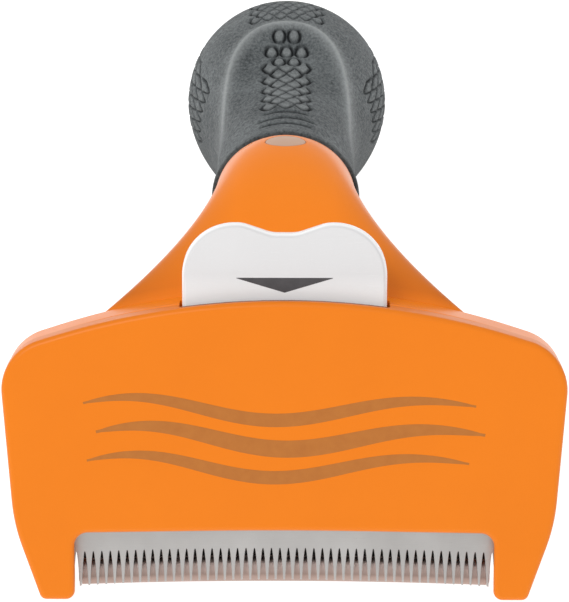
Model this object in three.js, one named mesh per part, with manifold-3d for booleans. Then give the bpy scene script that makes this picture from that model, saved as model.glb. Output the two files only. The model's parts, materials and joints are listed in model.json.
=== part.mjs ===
// A deshedding tool for a medium-sized dog: a toothed steel blade and a skin guard held between two
// moulded shells, a spring-loaded hair ejector with a push button, and an overmoulded handle.
//
// Head frame: X across the head, Y from the face towards the handle, Z up along the face from the
// soles of the two skids. The whole tool is then tilted about X, so that it rests on a table as it
// is put down: on the rest facets behind the two soles and on the heel of the grip.

import * as THREE from 'three';
import { mergeVertices } from 'three/addons/utils/BufferGeometryUtils.js';
import Module from 'manifold-3d';

const wasm = await Module();
wasm.setup();

// ---- driving dimensions, mm --------------------------------------------------------------------

const HEAD_DEPTH = 11;         // face to back of the head, without the neck
const SEAM_Y = 4.2;            // rear edge of the front cover
const SEAM_GAP = 0.3;
const FACE_WALL = 2;           // thickness of the front cover's face
const CAVITY_BACK = 9;         // front side of the rear wall
const MOUTH_HALF = 33.65;      // inner side of each skid, at the face
const MOUTH_DRAFT = 0.07;      // how fast the skids' inner sides open towards the back
const LEDGE_Z = 14.6;          // top of the solid skids inside the head
const GAP = 0.3;               // clearance between fitted pieces

const TOOTH_PITCH = 1.3735;
const NOTCHES = 50;
const TOOTH_TIP = 0.35;
const BLADE_FRONT = 3.9;
const BLADE_BACK = 5.4;
const BLADE_TOP = 22;
const BLADE_HALF = 36;
const SCREW_Z = 17;            // blade screws
const BLADE_SCREW_X = [-22, 0, 22];

const GUARD_RADIUS = 1.7;
const GUARD_Y = 7.9;
const GUARD_Z = 2.85;
const GUARD_HALF = 33.45;
const GUARD_SHEET = 0.8;

const TRAVEL = 9.3;            // stroke of the ejector
const BUTTON_HALF = 16.3;
const BUTTON_FRONT = 2.9;
const BUTTON_BACK = 7.4;
const BUTTON_BOTTOM = 41;
const SLOT_FRONT = 1.9;        // the front cover's wall in front of the button
const SLIDE_BOTTOM = 32.4;
const SLIDE_TOP = 40.7;
const PLATE_FRONT = 3.0;
const PLATE_BACK = 3.6;
const PLATE_BOTTOM = 12.6;
const SPRING_X = 38;
const SPRING_Y = 7.2;
const SPRING_TURNS = 8;

const COLLAR_Y = 46;           // end of the neck on the handle's axis
const COLLAR_Z = 57.8;
const HANDLE_SLOPE = THREE.MathUtils.degToRad(7);
const NECK_RADIUS = 12.1;
const SOCKET_RADIUS = 7.5;
const SOCKET_DEPTH = 12;
const GRIP_RADIUS = 12.3;      // at the collar
const BULB_RADIUS = 19.1;
const BULB_AT = 69.5;          // widest place of the bulb, from the collar
const GRIP_LENGTH = 97;
const PLUG_AT = -4.2;          // oval plug and handle screw, from the collar

const PLUG_BOTTOM = 10.4;      // above the handle's axis

const REST_EDGE_Y = 7.4;       // where the flat sole turns into the rest facet

// ---- materials ---------------------------------------------------------------------------------

const material = (color, roughness, metalness) =>
  new THREE.MeshStandardMaterial({ color, roughness, metalness });
const orangePlastic = () => material(0xf5832a, 0.35, 0);
const whitePlastic = () => material(0xe9e9e7, 0.3, 0);
const blackPlastic = () => material(0x2c2d2f, 0.55, 0);
const greyRubber = () => material(0x5b5f61, 0.75, 0);
const bladeSteel = () => material(0xb5b0ac, 0.3, 1);
const screwSteel = () => material(0x9c9a98, 0.35, 1);

// ---- outlines ----------------------------------------------------------------------------------

const LARGEST_STEP = THREE.MathUtils.degToRad(18);
const CHORD_ERROR = 0.04;

// Closed outline through corners [x, z, radius], each corner rounded by an arc.
function roundedOutline(corners) {
  const points = [];
  corners.forEach(([x, z, radius], i) => {
    const corner = new THREE.Vector2(x, z);
    if (!radius) {
      points.push(corner);
      return;
    }
    const before = corners[(i + corners.length - 1) % corners.length];
    const after = corners[(i + 1) % corners.length];
    const back = new THREE.Vector2(before[0] - x, before[1] - z).normalize();
    const ahead = new THREE.Vector2(after[0] - x, after[1] - z).normalize();
    const half = Math.acos(THREE.MathUtils.clamp(back.dot(ahead), -1, 1)) / 2;
    const middle = back.clone().add(ahead).normalize();
    const centre = corner.clone().addScaledVector(middle, radius / Math.sin(half));
    const start = corner.clone().addScaledVector(back, radius / Math.tan(half)).sub(centre).angle();
    const end = corner.clone().addScaledVector(ahead, radius / Math.tan(half)).sub(centre).angle();
    const turn = THREE.MathUtils.euclideanModulo(end - start + Math.PI, 2 * Math.PI) - Math.PI;
    const step = Math.min(LARGEST_STEP, 2 * Math.acos(1 - CHORD_ERROR / radius));
    const count = 2 * Math.ceil(Math.abs(turn) / step / 2);
    for (let k = 0; k <= count; k++) {
      const angle = start + (turn * k) / count;
      const spoke = new THREE.Vector2(Math.cos(angle), Math.sin(angle));
      points.push(centre.clone().addScaledVector(spoke, radius));
    }
  });
  return THREE.ShapeUtils.isClockWise(points) ? points.reverse() : points;
}

// Full corner list from the right half, given from the top to the bottom.
function mirrored(right) {
  const left = right.filter(([x]) => x > 0).map(([x, z, radius]) => [-x, z, radius]);
  return [...right, ...left.reverse()];
}

// The shoulders of the rear housing sit a little lower than those of the cover.
const COVER_TOP = [[0, 54.8, 122], [45.6, 40.6, 8.5]];
const REAR_TOP_RADIUS = 118;
const REAR_TOP = [[0, 55.05, REAR_TOP_RADIUS], [45.6, 40.25, 8.5]];

// Outline of the head at a depth behind the face.
function headOutline(top, y) {
  const mouth = MOUTH_HALF + MOUTH_DRAFT * y;
  return roundedOutline(mirrored([
    ...top,
    [43.4, 12.5, 30],
    [39.1, 0, 1.2],
    [mouth, 0, 1.5],
    [mouth, 11.1, 2.2],
    [0, 11.65, 800],
  ]));
}

const cavityOutline = roundedOutline(mirrored([
  [0, 52.4, 120],
  [43.0, 39.4, 6.5],
  [41.4, LEDGE_Z, 0.8],
  [MOUTH_HALF, LEDGE_Z, 0],
  [MOUTH_HALF, -3, 0],
]));

const buttonOutline = roundedOutline(mirrored([
  [2, 59.4, 5],
  [6.7, 61.07, 5.5],
  [BUTTON_HALF, 61.07, 8.4],
  [BUTTON_HALF, BUTTON_BOTTOM, 0.8],
]));

// The same outline moved inwards by a distance.
function inset(outline, distance) {
  return outline.map((point, i) => {
    const before = outline[(i + outline.length - 1) % outline.length];
    const after = outline[(i + 1) % outline.length];
    const first = point.clone().sub(before).normalize();
    const second = after.clone().sub(point).normalize();
    const along = first.clone().add(second).normalize();
    const miter = distance / Math.max(0.5, along.dot(first));
    return new THREE.Vector2(point.x - along.y * miter, point.y + along.x * miter);
  });
}

// ---- solids ------------------------------------------------------------------------------------

function closedMesh(positions, triangles) {
  const geometry = new THREE.BufferGeometry();
  geometry.setAttribute('position', new THREE.Float32BufferAttribute(positions, 3));
  geometry.setIndex(triangles);
  geometry.computeVertexNormals();
  return geometry;
}

// Side walls between rings of the same length, closed by the triangles given for both ends.
function skin(rings, frontCap, backCap) {
  const count = rings[0].length;
  const positions = rings.flat().flatMap((point) => point.toArray());
  const triangles = frontCap.flat();
  for (let ring = 0; ring + 1 < rings.length; ring++) {
    for (let i = 0; i < count; i++) {
      const a = ring * count + i;
      const b = ring * count + ((i + 1) % count);
      triangles.push(a, a + count, b + count, a, b + count, b);
    }
  }
  const offset = (rings.length - 1) * count;
  backCap.forEach(([a, b, c]) => triangles.push(offset + a, offset + c, offset + b));
  return closedMesh(positions, triangles);
}

// Solid along Y from an outline in X and Z: layers are [y, inset] pairs from front to back.
// The outline may also be a function of the depth.
function slab(outline, layers) {
  const outlineAt = typeof outline === 'function' ? outline : () => outline;
  const outlines = layers.map(([y, distance]) => inset(outlineAt(y), distance));
  const rings = outlines.map((ring, i) => ring.map(({ x, y }) => new THREE.Vector3(x, layers[i][0], y)));
  const cap = (ring) => THREE.ShapeUtils.triangulateShape(ring, []);
  return skin(rings, cap(outlines[0]), cap(outlines.at(-1)));
}

// Loft along Y through star-shaped rings.
function loft(rings) {
  const fan = rings[0].slice(2).map((_, i) => [0, i + 1, i + 2]);
  return skin(rings, fan, fan);
}

// Straight solid along Y with holes, from a THREE.Shape drawn in X and Z.
function plate(shape, front, back) {
  const options = { depth: back - front, bevelEnabled: false, curveSegments: 8 };
  return new THREE.ExtrudeGeometry(shape, options).rotateX(Math.PI / 2).translate(0, back, 0);
}

function block(x0, x1, y0, y1, z0, z1) {
  const box = new THREE.BoxGeometry(x1 - x0, y1 - y0, z1 - z0);
  return box.translate((x0 + x1) / 2, (y0 + y1) / 2, (z0 + z1) / 2);
}

// Round bar along Y.
function rod(radius, front, back, x, z, sides = 16) {
  const bar = new THREE.CylinderGeometry(radius, radius, back - front, sides);
  return bar.translate(x, (front + back) / 2, z);
}

// Round bar along Z.
function post(radius, bottom, top, x, y, sides = 14) {
  const bar = new THREE.CylinderGeometry(radius, radius, top - bottom, sides);
  return bar.rotateX(Math.PI / 2).translate(x, y, (bottom + top) / 2);
}

// Straight prism right across the head, its section given as [y, z] corners.
function sidePrism(corners) {
  const section = new THREE.Shape(corners.map(([y, z]) => new THREE.Vector2(y, z)));
  const solid = new THREE.ExtrudeGeometry(section, { depth: 100, bevelEnabled: false });
  // the section's axes become Y and Z and its depth X, kept right-handed by a turn about the diagonal
  const turn = new THREE.Matrix4().makeBasis(
    new THREE.Vector3(0, 1, 0), new THREE.Vector3(0, 0, 1), new THREE.Vector3(1, 0, 0));
  return solid.applyMatrix4(turn).translate(-50, 0, 0);
}

function toSolid(geometry) {
  const bare = geometry.clone();
  bare.deleteAttribute('normal');
  bare.deleteAttribute('uv');
  const merged = mergeVertices(bare, 1e-4);
  return new wasm.Manifold(new wasm.Mesh({
    numProp: 3,
    vertProperties: Float32Array.from(merged.attributes.position.array),
    triVerts: Uint32Array.from(merged.index.array),
  }));
}

function toGeometry(solid) {
  const mesh = solid.getMesh();
  return closedMesh(Array.from(mesh.vertProperties), Array.from(mesh.triVerts));
}

const join = (...parts) => parts.map(toSolid).reduce((whole, part) => whole.add(part));
const cut = (solid, ...tools) => tools.map(toSolid).reduce((whole, tool) => whole.subtract(tool), solid);

const handleToHead = new THREE.Matrix4()
  .makeTranslation(0, COLLAR_Y, COLLAR_Z)
  .multiply(new THREE.Matrix4().makeRotationX(HANDLE_SLOPE));

// ---- grip: the outer form of the handle along its axis -------------------------------------------

const GRIP_SIDES = 36;

function gripProfile(t) {
  if (t > BULB_AT) {
    const beyond = (t - BULB_AT) / (GRIP_LENGTH - BULB_AT);
    return BULB_RADIUS * Math.sqrt(Math.max(0, 1 - beyond ** 2.7));
  }
  const lip = 0.5 * (1 - THREE.MathUtils.smoothstep(t, 1.5, 6));
  return lip + THREE.MathUtils.lerp(GRIP_RADIUS, BULB_RADIUS, THREE.MathUtils.smoothstep(t, 24, BULB_AT));
}

// Depth of the thumb channel at a place on the top: it runs from the collar up into the bulb,
// between two soft ridges that close in an arch.
const CHANNEL_END = 61;
const CHANNEL_HALF = 11.6;

function channelDepth(t, x) {
  if (t > CHANNEL_END) {
    return 0;
  }
  const half = CHANNEL_HALF * Math.sqrt(1 - (Math.max(0, t - 10) / (CHANNEL_END - 10)) ** 5.2) + 0.01;
  const middle = 0.45 + 2.85 * THREE.MathUtils.smoothstep(t, 22, 50);
  const open = 1 - THREE.MathUtils.smoothstep(t, 54, CHANNEL_END);
  const inside = 1 - Math.abs(x / half) ** 2.6;
  return (middle * open * (inside + Math.hypot(inside, 0.08))) / 2;
}

// One ring around the axis, angle measured from the top.
function gripRing(t, shrink = 0) {
  const radius = Math.max(0.4, gripProfile(t) - shrink);
  const bulb = THREE.MathUtils.smoothstep(t, 25, 60);
  return Array.from({ length: GRIP_SIDES }, (_, i) => {
    const angle = -(2 * Math.PI * i) / GRIP_SIDES;
    const up = Math.cos(angle);
    // the bulb is a little flatter on top and a little slimmer below
    const x = Math.sin(angle) * radius * (1 + 0.03 * bulb * Math.min(0, up));
    const z = up * radius * (up > 0 ? 1 - 0.04 * bulb : 1);
    return new THREE.Vector3(x, t, up > 0 ? z - channelDepth(t, x) * Math.min(1, 3 * up) : z);
  });
}

function gripSleeve() {
  const stations = [0.7, 3, 6, 12, 18, 24, 30, 35, 40, 45, 50, 54, 57, 59.5, 61, 65, 69.5, 74, 78, 82, 86];
  stations.push(89.5, 92.3, 94.5, 96, 96.8, GRIP_LENGTH);
  const rings = [gripRing(0, 0.6), ...stations.map((t) => gripRing(t))];
  const bore = rod(9, -1, 81.8, 0, 0, 24);
  return cut(toSolid(loft(rings)), bore);
}

// Angle of the table under the tool: it touches the rest facets' front edge and the grip's heel.
function restAngle() {
  const point = new THREE.Vector3();
  let lowest = Math.PI;
  for (let t = 40; t < GRIP_LENGTH; t += 0.25) {
    point.set(0, t, -gripProfile(t)).applyMatrix4(handleToHead);
    lowest = Math.min(lowest, Math.atan2(point.z, point.y - REST_EDGE_Y));
  }
  return lowest;
}

const tilt = restAngle();

// ---- neck: from the back of the head to the collar ----------------------------------------------

const NECK_SIDES = 36;
const NECK_STATIONS = [10.4, 12, 14, 17, 21, 25, 29.5, 34, 38.5, 42, 44.6];

// Section at a depth behind the face: top, bottom and half width, and how square it is.
function neckSection(y) {
  const towardsCollar = (y - HEAD_DEPTH) / (COLLAR_Y - HEAD_DEPTH);
  const left = 1 - towardsCollar;
  return {
    top: THREE.MathUtils.lerp(69.7, 48.7, left ** 1.75),
    bottom: THREE.MathUtils.lerp(45.9, 17, left ** 1.8),
    half: THREE.MathUtils.lerp(NECK_RADIUS, 32.7, left ** 2.65),
    power: 2 + 2 * left,
  };
}

// The neck starts just under the top of the head and rises away from it.
function neckCeiling(x, y) {
  const headTop = 49 - REAR_TOP_RADIUS + Math.sqrt(REAR_TOP_RADIUS ** 2 - x ** 2);
  return headTop - 0.2 + 1.3 * (y - HEAD_DEPTH);
}

function softMinimum(a, b, blend) {
  return (a + b - Math.hypot(a - b, blend)) / 2;
}

function neckRing(y, wall = 0) {
  const { top, bottom, half, power } = neckSection(y);
  const middle = (top + bottom) / 2;
  const height = (top - bottom) / 2 - wall;
  const lean = Math.tan(HANDLE_SLOPE) * THREE.MathUtils.smoothstep(y, 20, COLLAR_Y);
  return Array.from({ length: NECK_SIDES }, (_, i) => {
    const angle = -(2 * Math.PI * i) / NECK_SIDES;
    const side = Math.sin(angle);
    const up = Math.cos(angle);
    const x = Math.sign(side) * Math.abs(side) ** (2 / power) * (half - wall);
    const round = middle + Math.sign(up) * Math.abs(up) ** (2 / power) * height;
    const z = up > 0 ? softMinimum(round, neckCeiling(x, y), 0.5) : round;
    return new THREE.Vector3(x, y - lean * (z - middle), z);
  });
}

function collarRing(t, radius) {
  return Array.from({ length: NECK_SIDES }, (_, i) => {
    const angle = -(2 * Math.PI * i) / NECK_SIDES;
    const point = new THREE.Vector3(Math.sin(angle) * radius, t, Math.cos(angle) * radius);
    return point.applyMatrix4(handleToHead);
  });
}

const neckOuter = () => loft([
  ...NECK_STATIONS.map((y) => neckRing(y)),
  collarRing(-GAP - 0.4, NECK_RADIUS),
  collarRing(-GAP, NECK_RADIUS - 0.4),
]);

const neckHollow = () => loft([8, 11, 15, 19, 24, 28].map((y) => {
  const wall = 2.8;
  const floor = 21.5;
  const ring = neckRing(Math.max(y, HEAD_DEPTH), wall);
  return ring.map(({ x, z }) => new THREE.Vector3(x, y, Math.max(z, floor)));
}));

// ---- head ----------------------------------------------------------------------------------------

const COVER_SCREWS = [
  ['cover_screw_upper_left', -36.5, 38.6],
  ['cover_screw_upper_right', 36.5, 38.6],
  ['cover_screw_lower_left', -39.7, 9.5],
  ['cover_screw_lower_right', 39.7, 9.5],
];

const buttonSlot = (front, back) => {
  const half = BUTTON_HALF + 0.5;
  return block(-half, half, front, back, 40, 60);
};

// Room for the blade's ends inside the skids.
function bladePockets() {
  return [-1, 1].map((side) => {
    const [x0, x1] = [side * (MOUTH_HALF - 1), side * (BLADE_HALF + GAP)].sort((a, b) => a - b);
    return block(x0, x1, BLADE_FRONT - GAP, BLADE_BACK + GAP, 0.9, LEDGE_Z + 1);
  });
}

function frontCover() {
  const layers = [[0, 0.75], [0.22, 0.24], [0.75, 0], [SEAM_Y - 0.35, 0], [SEAM_Y, 0.35]];
  const shell = slab((y) => headOutline(COVER_TOP, y), layers);
  const hollow = slab(cavityOutline, [[FACE_WALL, 0], [SEAM_Y + 1, 0]]);
  const upperScrews = COVER_SCREWS.slice(0, 2);
  const bosses = upperScrews.map(([, x, z]) => rod(2.4, FACE_WALL - 0.1, SEAM_Y - GAP, x, z));
  const screwHoles = COVER_SCREWS.map(([, x, z]) => rod(1.4, 1.6, SEAM_Y + 1, x, z));
  const open = cut(toSolid(shell), hollow, ...bladePockets());
  const bossed = bosses.map(toSolid).reduce((whole, boss) => whole.add(boss), open);
  return cut(bossed, buttonSlot(SLOT_FRONT, SEAM_Y + 1), ...screwHoles);
}

// What the rest facets cut from the skids' backs.
function restWedge() {
  const rear = HEAD_DEPTH + 2;
  const rise = (rear - REST_EDGE_Y) * Math.tan(tilt);
  return sidePrism([[REST_EDGE_Y, 0], [rear, rise], [rear, -2], [REST_EDGE_Y, -2]]);
}

function rearHousing() {
  const front = SEAM_Y + SEAM_GAP;
  const layers = [[front, 0.6], [front + 0.6, 0], [HEAD_DEPTH - 0.5, 0], [HEAD_DEPTH, 0.5]];
  const outer = slab((y) => headOutline(REAR_TOP, y), layers);
  const hollow = slab(cavityOutline, [[front - 1, 0], [CAVITY_BACK, 0]]);
  const bosses = BLADE_SCREW_X.map((x) => rod(3, 6.8, CAVITY_BACK + 0.1, x, SCREW_Z));
  const screwHoles = BLADE_SCREW_X.map((x) => rod(1.5, front - 1, 10.2, x, SCREW_Z));
  const spigots = [-SPRING_X, SPRING_X].map((x) => post(0.8, LEDGE_Z - 0.5, 18.5, x, SPRING_Y));
  const coverHoles = COVER_SCREWS.flatMap(([, x, z]) => [
    rod(1.4, front - 1, HEAD_DEPTH, x, z),
    rod(2.5, CAVITY_BACK + 0.2, HEAD_DEPTH + 4, x, z),
  ]);
  const upperScrews = COVER_SCREWS.slice(0, 2);
  const screwPads = upperScrews.map(([, x, z]) => rod(2.4, front + 0.3, CAVITY_BACK + 0.1, x, z));
  const socket = rod(SOCKET_RADIUS, -SOCKET_DEPTH, 2, 0, 0, 24).applyMatrix4(handleToHead);
  const screwHole = post(1.5, 6, 12, 0, PLUG_AT).applyMatrix4(handleToHead);
  const headHole = post(2.2, 8.6, 14, 0, PLUG_AT).applyMatrix4(handleToHead);
  const plugRecess = plugOval(GAP, PLUG_BOTTOM - GAP, 14).applyMatrix4(handleToHead);
  const shell = cut(join(outer, neckOuter()), hollow, neckHollow());
  const inner = [...bosses, ...spigots, ...screwPads].map(toSolid);
  const fitted = inner.reduce((whole, part) => whole.add(part), shell);
  return cut(fitted, buttonSlot(front - 1, BUTTON_BACK + GAP), ...screwHoles, ...coverHoles, socket,
    screwHole, headHole, plugRecess, restWedge(), ...bladePockets());
}

// Oval prism across the handle's top, in the handle's frame.
function plugOval(clearance, bottom, top) {
  const oval = new THREE.Shape().absellipse(0, 0, 3.4 + clearance, 2.4 + clearance, 0, 2 * Math.PI);
  const options = { depth: top - bottom, bevelEnabled: false, curveSegments: 28 };
  return new THREE.ExtrudeGeometry(oval, options).translate(0, PLUG_AT, bottom);
}

// Cap over the handle screw, flush with the neck.
function screwPlug() {
  const prism = toSolid(plugOval(0, PLUG_BOTTOM, 14).applyMatrix4(handleToHead));
  return prism.intersect(toSolid(neckOuter()));
}

// ---- blade and guard -------------------------------------------------------------------------------

const tipZ = (x) => 2.5 - 1.2 * (x / MOUTH_HALF) ** 2;
const notchZ = (x) => 7.77 - 0.75 * (x / MOUTH_HALF) ** 2;

function holes(shape, centres, radius) {
  centres.forEach(([x, z]) => {
    shape.holes.push(new THREE.Path().absarc(x, z, radius, 0, 2 * Math.PI, true));
  });
  return shape;
}

function blade() {
  const shape = new THREE.Shape();
  const baseHalf = (TOOTH_PITCH - TOOTH_TIP) / 2;
  const endZ = tipZ(MOUTH_HALF);
  shape.moveTo(BLADE_HALF, endZ + 0.4);
  shape.lineTo(BLADE_HALF, BLADE_TOP);
  shape.lineTo(-BLADE_HALF, BLADE_TOP);
  shape.lineTo(-BLADE_HALF, endZ + 0.4);
  for (let notch = 0; notch < NOTCHES; notch++) {
    const x = (notch - (NOTCHES - 1) / 2) * TOOTH_PITCH;
    const [foot, apex] = [tipZ(x), notchZ(x)];
    // each flank bows a little, like a gothic arch
    const bow = foot + 0.55 * (apex - foot);
    shape.lineTo(x - baseHalf, foot);
    shape.lineTo(x - baseHalf * 0.6, bow);
    shape.lineTo(x - 0.06, apex);
    shape.lineTo(x + 0.06, apex);
    shape.lineTo(x + baseHalf * 0.6, bow);
    shape.lineTo(x + baseHalf, foot);
  }
  holes(shape, BLADE_SCREW_X.map((x) => [x, SCREW_Z]), 1.5);
  return plate(shape, BLADE_FRONT, BLADE_BACK);
}

// Formed sheet: clamped behind the blade, set back below it and rolled forward into a round bar
// that follows the teeth's arch. The sheet meets the bar at its back.
function skinGuard() {
  const [clampFront, clampBack] = [BLADE_BACK + GAP, BLADE_BACK + GAP + GUARD_SHEET];
  const [webFront, webBack] = [GUARD_Y + GUARD_RADIUS - GUARD_SHEET, GUARD_Y + GUARD_RADIUS];
  const top = 20;
  const joinAngle = Math.acos(1 - GUARD_SHEET / GUARD_RADIUS);
  const bar = new THREE.EllipseCurve(GUARD_Y, GUARD_Z, GUARD_RADIUS, GUARD_RADIUS, joinAngle, 2 * Math.PI);
  const profile = [
    new THREE.Vector2(clampBack, top),
    new THREE.Vector2(clampFront, top),
    new THREE.Vector2(clampFront, 12.7),
    new THREE.Vector2(webFront, 9.7),
    ...bar.getPoints(16),
    new THREE.Vector2(webBack, 10.1),
    new THREE.Vector2(clampBack, 13.1),
  ];
  const stations = Array.from({ length: 17 }, (_, i) => (1 - i / 8) * GUARD_HALF);
  const rings = stations.map((x) => profile.map(({ x: y, y: z }) => {
    const drop = 0.65 * (x / GUARD_HALF) ** 2 * (1 - THREE.MathUtils.smoothstep(z, 5, 9));
    return new THREE.Vector3(x, y, z - drop);
  }));
  const cap = THREE.ShapeUtils.triangulateShape(profile, []);
  const sheet = skin(rings, cap, cap);
  return cut(toSolid(sheet), ...BLADE_SCREW_X.map((x) => rod(1.5, 5, 8, x, SCREW_Z)));
}

// ---- fasteners --------------------------------------------------------------------------------------

// Pan-head screw along Y: the head's top at 0, the point at +length.
function screw(headRadius, headHeight, shankRadius, length) {
  const profile = [
    [0, 0], [headRadius * 0.6, 0], [headRadius, headHeight * 0.45], [headRadius, headHeight],
    [shankRadius, headHeight], [shankRadius, length - shankRadius], [shankRadius * 0.4, length], [0, length],
  ];
  const body = new THREE.LatheGeometry(profile.map(([r, y]) => new THREE.Vector2(r, y)), 12);
  const drive = block(-headRadius * 0.55, headRadius * 0.55, -1, headHeight * 0.5, -0.22, 0.22);
  const crossDrive = drive.clone().rotateY(Math.PI / 2);
  return cut(toSolid(body), drive, crossDrive);
}

function rivet() {
  const profile = [[0, 0], [1, 0], [1.8, 0.35], [1.8, 0.6], [1, 0.6], [1, 4.2], [0, 4.2]];
  return new THREE.LatheGeometry(profile.map(([r, y]) => new THREE.Vector2(r, y)), 12);
}

// ---- ejector ----------------------------------------------------------------------------------------

const BUTTON_SCREW_X = [-11, 11];
const BUTTON_SCREW_Y = 5.8;
const RIVET_X = [-5, 5];
const RIVET_Z = 37.5;

// Thumb tab that thins towards its wavy top edge.
function ejectorButton() {
  const layers = [[BUTTON_FRONT, 0.75], [BUTTON_FRONT + 0.7, 0], [BUTTON_BACK - 0.5, 0], [BUTTON_BACK, 0.5]];
  const body = slab(buttonOutline, layers);
  const taper = sidePrism([[BUTTON_BACK + 1, 47.5], [4.3, 61.5], [4.3, 64], [BUTTON_BACK + 1, 64]]);
  const tapped = BUTTON_SCREW_X.map((x) => post(1.15, BUTTON_BOTTOM - 1, 47, x, BUTTON_SCREW_Y));
  return cut(toSolid(body), taper, ...tapped);
}

function ejectorSlide() {
  const bodyFront = PLATE_BACK + GAP;
  const centre = block(-15, 15, bodyFront, 8.6, SLIDE_BOTTOM, SLIDE_TOP);
  const armOutline = [[-40, SLIDE_BOTTOM, 0.8], [40, SLIDE_BOTTOM, 0.8], [40, 35.6, 1.4], [-40, 35.6, 1.4]];
  const arms = slab(roundedOutline(armOutline), [[5.4, 0], [8.6, 0]]);
  const spigots = [-SPRING_X, SPRING_X].map((x) => {
    return post(0.8, SLIDE_BOTTOM - 3.6, SLIDE_BOTTOM + 0.5, x, SPRING_Y);
  });
  const screwWays = BUTTON_SCREW_X.flatMap((x) => [
    post(1.15, SLIDE_BOTTOM - 1, SLIDE_TOP + 1, x, BUTTON_SCREW_Y),
    post(1.8, SLIDE_BOTTOM - 1, SLIDE_BOTTOM + 2, x, BUTTON_SCREW_Y),
  ]);
  const rivetHoles = RIVET_X.map((x) => rod(1.3, bodyFront - 1, 7, x, RIVET_Z));
  return cut(join(centre, arms, ...spigots), ...screwWays, ...rivetHoles);
}

function ejectorPlate() {
  const side = 33.3;
  const shape = new THREE.Shape(roundedOutline(mirrored([
    [8, 40, 2], [8, 31, 2.5], [side, 31, 3], [side, PLATE_BOTTOM, 0.6],
  ])));
  // each screw head stays put while the plate runs down past it
  BLADE_SCREW_X.forEach((x) => {
    const slotHalf = 3;
    const path = new THREE.Path();
    path.absarc(x, SCREW_Z + TRAVEL, slotHalf, 0, Math.PI, false);
    path.absarc(x, SCREW_Z + 0.2, slotHalf, Math.PI, 2 * Math.PI, false);
    shape.holes.push(path);
  });
  holes(shape, RIVET_X.map((x) => [x, RIVET_Z]), 1.3);
  return plate(shape, PLATE_FRONT, PLATE_BACK);
}

// Compression spring with closed ends, along Z.
function returnSpring() {
  const [bottom, top] = [LEDGE_Z + GAP + 0.25, SLIDE_BOTTOM - GAP - 0.25];
  const [meanRadius, wire] = [1.35, 0.25];
  const steps = SPRING_TURNS * 10;
  const rings = [];
  for (let i = 0; i <= steps; i++) {
    const share = i / steps;
    const angle = 2 * Math.PI * SPRING_TURNS * share;
    const rise = share + Math.sin(4 * Math.PI * share) * -0.03;
    const spoke = new THREE.Vector3(Math.cos(angle), Math.sin(angle), 0);
    const up = new THREE.Vector3(0, 0, 1);
    rings.push(Array.from({ length: 5 }, (_, k) => {
      const around = (2 * Math.PI * k) / 5;
      return new THREE.Vector3(0, 0, THREE.MathUtils.lerp(bottom, top, rise))
        .addScaledVector(spoke, meanRadius + wire * Math.cos(around))
        .addScaledVector(up, wire * Math.sin(around));
    }));
  }
  return loft(rings);
}

// ---- handle -----------------------------------------------------------------------------------------

function handleCore() {
  const spigot = SOCKET_RADIUS - GAP;
  const profile = [
    [0, 0.3 - SOCKET_DEPTH], [spigot - 0.6, 0.3 - SOCKET_DEPTH], [spigot, 0.9 - SOCKET_DEPTH], [spigot, 0.1],
    [8.7, 0.1], [8.7, 78], [8.1, 79], [5.3, 79], [5.3, 12], [0, 12],
  ];
  const tube = new THREE.LatheGeometry(profile.map(([r, y]) => new THREE.Vector2(r, y)), 24);
  return cut(toSolid(tube), post(1.5, 1, 9, 0, PLUG_AT));
}

function coreEndCap() {
  const profile = [
    [0, 74], [4.5, 74], [5, 74.6], [5, 79.3], [7.5, 79.3], [7.5, 80.6], [6.8, 81.3], [0, 81.3],
  ];
  return new THREE.LatheGeometry(profile.map(([r, y]) => new THREE.Vector2(r, y)), 24);
}

// ---- assembly ---------------------------------------------------------------------------------------

function add(group, name, shape, look) {
  const geometry = shape.isBufferGeometry ? shape : toGeometry(shape);
  const mesh = new THREE.Mesh(geometry, look);
  mesh.name = name;
  group.add(mesh);
  return mesh;
}

const head = new THREE.Group();
add(head, 'front_cover', frontCover(), orangePlastic());
add(head, 'rear_housing', rearHousing(), orangePlastic());
add(head, 'blade', blade(), bladeSteel());
add(head, 'skin_guard', skinGuard(), bladeSteel());

['left', 'middle', 'right'].forEach((place, i) => {
  const mesh = add(head, `blade_screw_${place}`, screw(2.6, 1.3, 1.2, 7.6), screwSteel());
  mesh.position.set(BLADE_SCREW_X[i], 2.3, SCREW_Z);
});

COVER_SCREWS.forEach(([name, x, z]) => {
  const mesh = add(head, name, screw(2.1, 1.2, 1.1, 8.8), screwSteel());
  mesh.rotation.z = Math.PI;
  mesh.position.set(x, CAVITY_BACK + 1.7, z);
});

const ejector = new THREE.Group();
add(ejector, 'ejector_button', ejectorButton(), whitePlastic());
add(ejector, 'ejector_slide', ejectorSlide(), blackPlastic());
add(ejector, 'ejector_plate', ejectorPlate(), bladeSteel());

['left', 'right'].forEach((place, i) => {
  const pin = add(ejector, `plate_rivet_${place}`, rivet(), screwSteel());
  pin.position.set(RIVET_X[i], 2.1, RIVET_Z);
  const bolt = add(ejector, `button_screw_${place}`, screw(1.5, 1.3, 0.85, 12), screwSteel());
  bolt.rotation.x = Math.PI / 2;
  bolt.position.set(BUTTON_SCREW_X[i], BUTTON_SCREW_Y, SLIDE_BOTTOM + 0.3);
  const spring = add(head, `return_spring_${place}`, returnSpring(), screwSteel());
  spring.position.set([-SPRING_X, SPRING_X][i], SPRING_Y, 0);
});

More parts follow.
